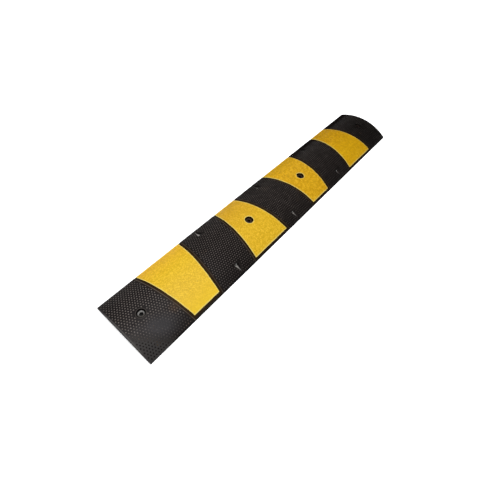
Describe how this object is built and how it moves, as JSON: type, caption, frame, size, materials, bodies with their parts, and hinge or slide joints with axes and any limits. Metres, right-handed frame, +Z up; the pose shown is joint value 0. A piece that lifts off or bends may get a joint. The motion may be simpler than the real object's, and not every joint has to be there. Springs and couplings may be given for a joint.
{
  "type": "rubber speed bump",
  "caption": "Low rounded black rubber speed bump section with tapered reflective yellow panels, countersunk bolt holes and small reflectors set in notches along both slopes.",
  "frame": {"origin": "middle of the flat underside, on the ground", "axes": "+X along the length of the section, +Y across the width towards one slope, +Z up from the ground"},
  "size_m": [1.83, 0.305, 0.05],
  "materials": {
    "black_rubber": "matt moulded rubber with small raised dots",
    "reflective_yellow": "matt glass-bead reflective sheet",
    "zinc_steel": "dull zinc plate",
    "cup_metal": "satin",
    "clear_lens": "clear"
  },
  "bodies": {
    "root": {"bump_body": "black_rubber", "yellow_panel_1": "reflective_yellow", "yellow_panel_2": "reflective_yellow", "yellow_panel_3": "reflective_yellow", "yellow_panel_4": "reflective_yellow", "bolt_washer_1": "zinc_steel", "bolt_washer_2": "zinc_steel", "bolt_washer_3": "zinc_steel", "bolt_washer_4": "zinc_steel", "reflector_cup_left_1": "cup_metal", "reflector_cup_left_2": "cup_metal", "reflector_cup_left_3": "cup_metal", "reflector_cup_right_1": "cup_metal", "reflector_cup_right_2": "cup_metal", "reflector_cup_right_3": "cup_metal", "reflector_lens_left_1": "clear_lens", "reflector_lens_left_2": "clear_lens", "reflector_lens_left_3": "clear_lens", "reflector_lens_right_1": "clear_lens", "reflector_lens_right_2": "clear_lens", "reflector_lens_right_3": "clear_lens"}
  },
  "joints": []
}
